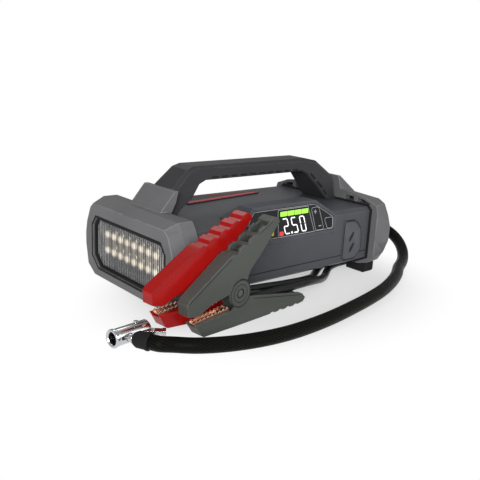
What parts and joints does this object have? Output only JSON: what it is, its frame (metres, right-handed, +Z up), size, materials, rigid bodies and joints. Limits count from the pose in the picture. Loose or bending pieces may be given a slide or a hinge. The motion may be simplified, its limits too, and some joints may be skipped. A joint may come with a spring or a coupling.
{
  "type": "jump starter pack",
  "caption": "Portable jump starter pack with carry handle, work lamp, display, tyre hose with a lever chuck, and a pair of sprung battery clamps on leads.",
  "frame": {"origin": "centre of the pack's footprint, on the floor that its feet stand on", "axes": "+X from the lamp end to the hose end, +Y away from the display side, +Z up"},
  "size_m": [0.4338, 0.2456, 0.1264],
  "materials": {
    "slate_shell": "satin",
    "slate_rubber": "matt",
    "grey_bumper": "fine texture",
    "handle_grey": "satin",
    "dark_plastic": "matt",
    "lens": "clear, ribbed",
    "reflector": "metallised",
    "lamp_board": "matt",
    "display_glass": "gloss",
    "circuit_board": "satin",
    "key_black": "satin",
    "key_yellow": "satin",
    "inlay": "satin",
    "battery_wrap": "satin",
    "steel_can": "plated",
    "cast_alloy": "cast",
    "black_rubber": "matt",
    "dark_steel": "blackened",
    "olive_plastic": "matt",
    "red_plastic": "gloss",
    "copper": "bright copper plating",
    "spring_steel": "bright",
    "lead_cover": "satin",
    "hose_cover": "fine braid",
    "chrome": "polished"
  },
  "bodies": {
    "pack": {"air_hose": "hose_cover", "battery_pack": "battery_wrap", "black_lead": "lead_cover", "black_lead_boot": "black_rubber", "black_lower_arm": "olive_plastic", "black_lower_jaw": "copper", "black_pivot_pin": "dark_steel", "carry_handle": "handle_grey", "chuck_body": "chrome", "chuck_nipple": "chrome", "chuck_pin": "chrome", "chuck_seal": "black_rubber", "display_board": "circuit_board", "display_frame": "slate_shell", "display_window": "display_glass", "foot_front_far": "black_rubber", "foot_front_near": "black_rubber", "foot_rear_far": "black_rubber", "foot_rear_near": "black_rubber", "front_bumper": "grey_bumper", "grip_strip": "dark_plastic", "hose_boot": "black_rubber", "hose_sleeve": "black_rubber", "lamp_board": "lamp_board", "lamp_lens": "lens", "lamp_reflector": "reflector", "lower_shell": "slate_shell", "main_board": "circuit_board", "port_block": "dark_plastic", "pump_head": "cast_alloy", "pump_motor": "steel_can", "rear_bumper": "grey_bumper", "red_lead": "lead_cover", "red_lead_boot": "black_rubber", "red_lower_arm": "red_plastic", "red_lower_jaw": "copper", "red_pivot_pin": "dark_steel", "shell_screw_1": "dark_steel", "shell_screw_2": "dark_steel", "shell_screw_3": "dark_steel", "shell_screw_4": "dark_steel", "top_inlay": "inlay", "upper_shell": "slate_shell"},
    "black_arm": {"black_upper_arm": "olive_plastic", "black_upper_jaw": "copper", "black_spring": "spring_steel"},
    "red_arm": {"red_upper_arm": "red_plastic", "red_upper_jaw": "copper", "red_spring": "spring_steel"},
    "lever": {"chuck_lever": "chrome"},
    "cover": {"port_cover": "slate_rubber"},
    "rocker": {"level_rocker": "key_black"},
    "pump_button": {"pump_key": "key_black"},
    "boost_button": {"boost_key": "key_yellow"}
  },
  "joints": [
    {"name": "black_clamp_hinge", "type": "hinge", "parent": "pack", "child": "black_arm", "pos_m": [-0.10064, -0.1022, 0.03], "axis": [-0.1045, 0.9945, 0], "range_deg": [0, 35], "stiffness_Nm_per_rad": 1, "springref_deg": -17.19},
    {"name": "red_clamp_hinge", "type": "hinge", "parent": "pack", "child": "red_arm", "pos_m": [-0.12684, -0.08957, 0.03696], "axis": [-0.1045, 0.9945, 0], "range_deg": [0, 35], "stiffness_Nm_per_rad": 1, "springref_deg": -17.19},
    {"name": "chuck_lever_hinge", "type": "hinge", "parent": "pack", "child": "lever", "pos_m": [-0.19171, -0.0863, 0.0084], "axis": [0, 0, 1], "range_deg": [0, 15], "stiffness_Nm_per_rad": 0.05, "springref_deg": -11.46},
    {"name": "port_cover_hinge", "type": "hinge", "parent": "pack", "child": "cover", "pos_m": [0.0757, -0.0735, 0.044], "axis": [0, 0, -1], "range_deg": [0, 110]},
    {"name": "level_rocker_tilt", "type": "hinge", "parent": "pack", "child": "rocker", "pos_m": [0.033, -0.0715, 0.0745], "axis": [1, 0, 0], "range_deg": [-1.5, 1.5], "stiffness_Nm_per_rad": 0.05},
    {"name": "pump_key_press", "type": "slide", "parent": "pack", "child": "pump_button", "axis": [0, 1, 0], "range_m": [0, 0.0006], "stiffness_N_per_m": 300},
    {"name": "boost_key_press", "type": "slide", "parent": "pack", "child": "boost_button", "axis": [0, 1, 0], "range_m": [0, 0.0006], "stiffness_N_per_m": 300}
  ]
}
